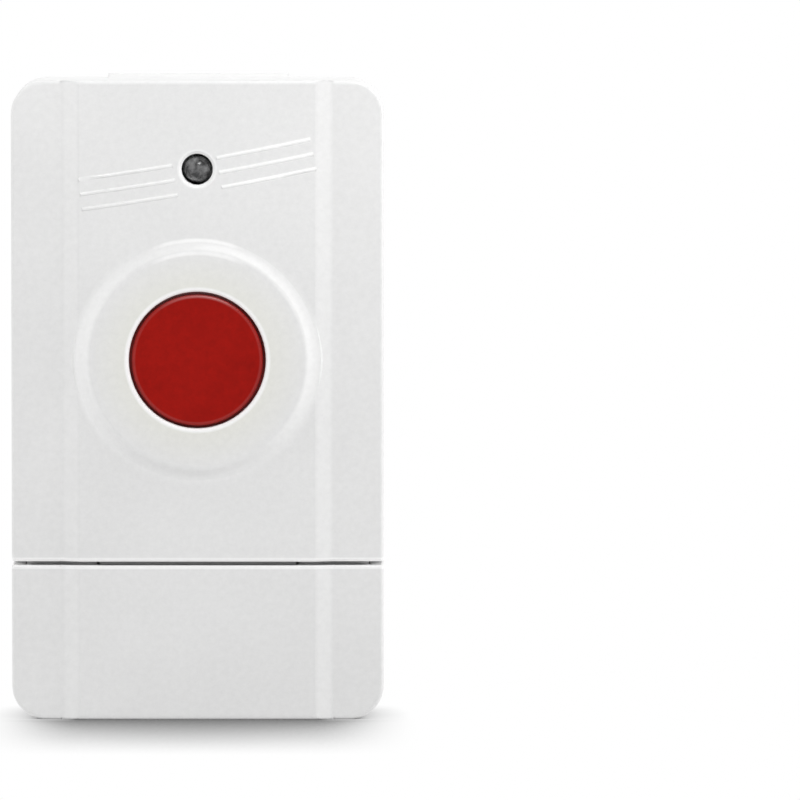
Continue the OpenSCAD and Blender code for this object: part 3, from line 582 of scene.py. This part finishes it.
metalBase = {"drift": 420.0, "grain": 9000.0, "speckle": 0.1, "bump": 0.1, "pit": 0.004 * mm}
metalSet = {
    "tinnedSteel": {"light": (0.72, 0.72, 0.71, 1), "dark": (0.58, 0.58, 0.57, 1), "gloss": (0.25, 0.4)},
    "zincSteel": {"light": (0.62, 0.64, 0.66, 1), "dark": (0.5, 0.52, 0.53, 1), "gloss": (0.28, 0.42)},
    "batterySteel": {"light": (0.75, 0.75, 0.74, 1), "dark": (0.62, 0.62, 0.61, 1), "gloss": (0.18, 0.3)},
    "nickelStrip": {"light": (0.74, 0.72, 0.68, 1), "dark": (0.6, 0.58, 0.54, 1), "gloss": (0.2, 0.34)},
    "enamelledCopper": {"light": (0.66, 0.27, 0.1, 1), "dark": (0.5, 0.18, 0.06, 1), "gloss": (0.22, 0.34)},
}


def makeMetal(name):
    look = {**metalBase, **metalSet[name]}
    material, tree, shader = newMaterial(name, Metallic=1.0)
    drift = addDrift(tree, look)
    grain = addGrain(tree, look)
    colour = mixColours(tree, drift["Mask"], look["light"], look["dark"])
    feed(tree, shader, Base_Color=scaleColour(tree, colour, grain["Tone"]), Roughness=drift["Value"],
         Normal=bumpFrom(tree, grain["Height"], look["bump"], look["pit"]))
    return material


# Green solder mask over copper tracks, which show as lighter raised lines

boardSet = {"mask": (0.012, 0.12, 0.035, 1), "track": (0.03, 0.22, 0.06, 1), "ior": 1.5,
            "cell": 420.0, "spread": 0.55, "width": (0.09, 0.063), "drift": 160.0, "gloss": (0.22, 0.34),
            "grain": 6000.0, "speckle": 0.12, "bump": 0.4, "raise": 0.03 * mm}


def makeBoardMask():
    look = boardSet
    material, tree, shader = newMaterial("boardMask", IOR=look["ior"])
    cells = addNode(tree, "TexVoronoi", {"Vector": objectPoint(tree)},
                    {"Scale": look["cell"], "Randomness": look["spread"]}, feature="DISTANCE_TO_EDGE")
    track = rampBetween(tree, cells.outputs["Distance"], *look["width"])
    drift = addDrift(tree, look)
    grain = addGrain(tree, look)
    colour = mixColours(tree, track, look["mask"], look["track"])
    feed(tree, shader, Base_Color=scaleColour(tree, colour, grain["Tone"]), Roughness=drift["Value"],
         Normal=bumpFrom(tree, track, look["bump"], look["raise"]))
    return material


# Chip parts: a ceramic body between two tinned ends

chipBase = {"end": (0.62 * mm, 0.66 * mm), "tin": (0.66, 0.66, 0.65, 1), "grain": 8000.0, "speckle": 0.25,
            "roughness": (0.3, 0.7, 0.3, 0.45)}
chipSet = {
    "resistorCeramic": {"node": "chip_resistors", "axis": "X", "body": (0.02, 0.02, 0.022, 1)},
    "capacitorCeramic": {"node": "chip_capacitors", "axis": "Z", "body": (0.36, 0.25, 0.14, 1)},
}


def makeChipCeramic(name):
    look = {**chipBase, **chipSet[name]}
    material, tree, shader = newMaterial(name)
    centre = getattr(middleOf(look["node"]), look["axis"].lower())
    tin = rampBetween(tree, distance(tree, placeOf(tree)[look["axis"]], centre), *look["end"])
    grain = addGrain(tree, look)
    colour = mixColours(tree, tin, look["body"], look["tin"])
    feed(tree, shader, Base_Color=scaleColour(tree, colour, grain["Tone"]), Metallic=tin,
         Roughness=rampBetween(tree, grain["Height"], *look["roughness"]))
    return material


# Printed film sleeve of the battery: graphite, with a bright band towards the positive end

sleeveSet = {"film": (0.035, 0.038, 0.045, 1), "band": (0.55, 0.56, 0.57, 1), "ior": 1.5,
             "bandSpan": (5.2 * mm, 5.35 * mm, 9.4 * mm, 9.55 * mm), "bandMetal": 0.8, "drift": 260.0,
             "gloss": (0.2, 0.3), "grain": 7000.0, "speckle": 0.12, "bump": 0.12, "crease": 0.02 * mm}


def makeBatterySleeve():
    look = sleeveSet
    material, tree, shader = newMaterial("batterySleeve", IOR=look["ior"])
    band = between(tree, placeOf(tree)["X"], *look["bandSpan"])
    grain = addGrain(tree, look)
    drift = addDrift(tree, look)
    colour = mixColours(tree, band, look["film"], look["band"])
    feed(tree, shader, Base_Color=scaleColour(tree, colour, grain["Tone"]), Roughness=drift["Value"],
         Metallic=times(tree, band, look["bandMetal"]),
         Normal=bumpFrom(tree, drift["Mask"], look["bump"], look["crease"]))
    return material


finishes = {
    "case_plastic": makePlastic("caseWhite", caseTintAndPaintedLight),
    "button_plastic": makePlastic("buttonRed"),
    "black_plastic": makePlastic("blackMoulding"),
    "lamp_epoxy": makeLampEpoxy(),
    "tinned_steel": makeMetal("tinnedSteel"),
    "zinc_steel": makeMetal("zincSteel"),
    "battery_steel": makeMetal("batterySteel"),
    "nickel_strip": makeMetal("nickelStrip"),
    "enamelled_copper": makeMetal("enamelledCopper"),
    "board_laminate": makeBoardMask(),
    "resistor_ceramic": makeChipCeramic("resistorCeramic"),
    "capacitor_ceramic": makeChipCeramic("capacitorCeramic"),
    "battery_sleeve": makeBatterySleeve(),
}
for node in nodes.values():
    slotName = node.material_slots[0].material.name.split(".")[0]
    node.material_slots[0].material = finishes[slotName]
print("materials made for", len(finishes), "slots")


# New pieces: each takes its finish from a slot and rides on a body

def addPiece(name, mesh, slotName, body, *replaced):
    mesh.materials.clear()
    mesh.materials.append(finishes[slotName])
    piece = bpy.data.objects.new(name, mesh)
    scene.collection.objects.link(piece)
    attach(piece, body)
    if replaced:
        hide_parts(*replaced)


mergeReach = 0.0005 * mm


def closeMesh(bm, name, sharpAngle=40):
    bmesh.ops.remove_doubles(bm, verts=bm.verts, dist=mergeReach)
    bmesh.ops.recalc_face_normals(bm, faces=bm.faces)
    mesh = bpy.data.meshes.new(name)
    bm.to_mesh(mesh)
    bm.free()
    mesh.shade_smooth()
    mesh.set_sharp_from_angle(angle=math.radians(sharpAngle))
    return mesh


# Turns a section of (radius, height) points about the placed Z axis
def spinSection(bm, section, place, steps, closed=False):
    verts = [bm.verts.new(place @ Vector((radius, 0, height))) for radius, height in section]
    pairs = list(zip(verts, verts[1:]))
    if closed:
        pairs.append((verts[-1], verts[0]))
    edges = [bm.edges.new(pair) for pair in pairs]
    axis = (place.to_3x3() @ Vector((0, 0, 1))).normalized()
    bmesh.ops.spin(bm, geom=verts + edges, cent=place.translation, axis=axis, angle=2 * math.pi,
                   steps=steps, use_merge=True)


# A round wire swept along points
wireForm = {"round": 4, "order": 4, "smooth": 3, "sharp": 60}


def sweepWire(name, points, wire):
    curve = bpy.data.curves.new(name + "Path", "CURVE")
    curve.dimensions = "3D"
    curve.bevel_depth = wire / 2
    curve.bevel_resolution = wireForm["round"]
    curve.use_fill_caps = True
    spline = curve.splines.new("NURBS")
    spline.points.add(len(points) - 1)
    for place, point in zip(spline.points, points):
        place.co = (*point, 1)
    spline.order_u = wireForm["order"]
    spline.use_endpoint_u = True
    spline.resolution_u = wireForm["smooth"]
    path = bpy.data.objects.new(name + "Path", curve)
    scene.collection.objects.link(path)
    mesh = bpy.data.meshes.new_from_object(path.evaluated_get(bpy.context.evaluated_depsgraph_get()))
    bpy.data.objects.remove(path)
    bpy.data.curves.remove(curve)
    bm = bmesh.new()
    bm.from_mesh(mesh)
    bpy.data.meshes.remove(mesh)
    return closeMesh(bm, name, wireForm["sharp"])


# Coils that lie along the board, with both ends led down through it

windingSet = {
    "antennaWinding": {"node": "antenna_coil", "along": (0, 0, 1), "across": (1, 0, 0), "turns": 13},
    "tuningWinding": {"node": "tuning_coil", "along": (1, 0, 0), "across": (0, 0, -1), "turns": 4},
}
windingForm = {
    "wire": 0.5 * mm,
    "steps": 20,                 # points to a turn
    "leg": (0, 0.3, 0.6),        # points on a leg, as shares of its length
}


def windingEnds(coil):
    low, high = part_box(coil["node"])
    along = Vector(coil["along"])
    half = along * ((high - low).dot(along) - windingForm["wire"]) / 2
    return middleOf(coil["node"]) - half, middleOf(coil["node"]) + half


def windingPath(coil):
    form = windingForm
    low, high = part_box(coil["node"])
    across = Vector(coil["across"])
    start, end = windingEnds(coil)
    radius = abs((high - low).dot(across)) / 2 - form["wire"] / 2
    axisY = low.y + form["wire"] / 2 + radius
    legs = [Vector((0, high.y - start.y - part * (high.y - axisY - radius), 0)) for part in form["leg"]]
    count = coil["turns"] * form["steps"]
    turns = []
    for i in range(count + 1):
        angle = 2 * math.pi * i / form["steps"]
        step = (end - start) * (i / count) + across * (radius * math.sin(angle))
        turns.append(step + Vector((0, axisY + radius * math.cos(angle) - start.y, 0)))
    tail = [end - start + leg for leg in reversed(legs)]
    return [start + point for point in legs + turns + tail]


for name, coil in windingSet.items():
    winding = sweepWire(name, windingPath(coil), windingForm["wire"])
    addPiece(name, winding, "enamelled_copper", "case", coil["node"])


# Battery spring: tapered, with a flat turn at each end

springSet = {"wire": 0.6 * mm, "foot": 3.0 * mm, "tip": 1.9 * mm, "turns": 3.5, "flat": 0.8, "steps": 20}


def springPath():
    form = springSet
    low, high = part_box("battery_spring")
    axis = middleOf("battery_can")
    start = low.x + form["wire"] / 2
    length = high.x - low.x - form["wire"]
    total = form["turns"] + 2 * form["flat"]
    points = []
    for i in range(int(total * form["steps"]) + 1):
        turn = i / form["steps"] - form["flat"]
        share = min(max(turn / form["turns"], 0), 1)
        radius = form["foot"] + (form["tip"] - form["foot"]) * share
        angle = 2 * math.pi * turn
        points.append(Vector((start + length * share, axis.y + radius * math.cos(angle),
                              axis.z + radius * math.sin(angle))))
    return points


addPiece("batterySpringWire", sweepWire("batterySpringWire", springPath(), springSet["wire"]),
         "nickel_strip", "case", "battery_spring")
print("wound pieces made")


# Battery sleeve: thin film, turned in over the positive end and rolled at the other

sleeveForm = {"film": 0.15 * mm, "turnedIn": 1.1 * mm, "round": 0.35 * mm, "arcStep": 15, "steps": 72}


def makeSleeve():
    form = sleeveForm
    film = form["film"]
    low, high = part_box("battery_jacket")
    axis = middleOf("battery_jacket")
    outer = (high.z - low.z) / 2
    inner = outer - film
    lip = outer - form["turnedIn"]
    end = high.x - low.x + film
    under = end - film * 3 / 4
    section = [(inner, 0), (outer - film / 2, -film / 2), (outer, 0)]
    for angle in map(math.radians, range(0, 91, form["arcStep"])):
        inwards = form["round"] * (1 - math.cos(angle))
        short = form["round"] * (1 - math.sin(angle))
        section.append((outer - inwards, end - short))
    section += [(lip, end), (lip, under), (inner, under)]
    place = Matrix.Translation((low.x, axis.y, axis.z)) @ Matrix.Rotation(math.pi / 2, 4, "Y")
    bm = bmesh.new()
    spinSection(bm, section, place, form["steps"], closed=True)
    addPiece("batterySleeveFilm", closeMesh(bm, "batterySleeveFilm"), "battery_sleeve", "case",
             "battery_jacket")


makeSleeve()


# Lamp frame: the cup and the post that show through the smoky body, their sections in millimetres

lampForm = {
    "depth": 2.3 * mm,       # from the lamp's tip to the height 0 of both sections
    "steps": 32,
    "cup": {"at": -0.3 * mm, "section": ((0.0, 0.1), (0.32, 0.1), (0.62, 0.5), (0.74, 0.5), (0.74, 0.1),
                                         (0.4, -0.5), (0.4, -2.2), (0.0, -2.2))},
    "post": {"at": 0.85 * mm, "section": ((0.0, 0.42), (0.3, 0.36), (0.34, 0.2), (0.26, -0.6),
                                          (0.26, -2.2), (0.0, -2.2))},
}


def makeLampFrame():
    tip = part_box("led_lens")[0].y
    axis = middleOf("led_lens")
    bm = bmesh.new()
    for part in (lampForm["cup"], lampForm["post"]):
        place = Matrix.Translation((axis.x + part["at"], tip + lampForm["depth"], axis.z))
        place = place @ Matrix.Rotation(math.pi / 2, 4, "X") @ Matrix.Scale(mm, 4)
        spinSection(bm, part["section"], place, lampForm["steps"])
    addPiece("lampFrame", closeMesh(bm, "lampFrame"), "tinned_steel", "case")


makeLampFrame()


# Solder joints on the back of the board, one at each wire end, their section in millimetres

solderForm = {
    "section": ((0.0, 0.78), (0.2, 0.76), (0.27, 0.62), (0.33, 0.4), (0.46, 0.18), (0.7, 0.03), (0.72, 0.0),
                (0.0, 0.0)),
    "steps": 20,
    "legIn": 0.3 * mm,
    "pinRing": 1.8 * mm,
    "pins": 3,
}


def legColumns(node):
    low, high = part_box(node)
    inset = solderForm["legIn"] / 2
    return low.x + inset, high.x - inset


def solderPlaces():
    form = solderForm
    places = [(x, middleOf("led_leads").z) for x in legColumns("led_leads")]
    low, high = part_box("switch_legs")
    rows = (low.z + form["legIn"], high.z - form["legIn"])
    places += [(x, z) for x in legColumns("switch_legs") for z in rows]
    can = middleOf("resonator_can")
    ring = form["pinRing"]
    for pin in range(form["pins"]):
        angle = 2 * math.pi * pin / form["pins"]
        places.append((can.x + ring * math.cos(angle), can.z + ring * math.sin(angle)))
    for coil in windingSet.values():
        places += [(end.x, end.z) for end in windingEnds(coil)]
    return places


def makeSolder():
    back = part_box("circuit_board")[1].y
    bm = bmesh.new()
    for x, z in solderPlaces():
        place = Matrix.Translation((x, back, z))
        place = place @ Matrix.Rotation(-math.pi / 2, 4, "X") @ Matrix.Scale(mm, 4)
        spinSection(bm, solderForm["section"], place, solderForm["steps"])
    addPiece("solderJoints", closeMesh(bm, "solderJoints"), "tinned_steel", "case")


makeSolder()
print("detail pieces made")
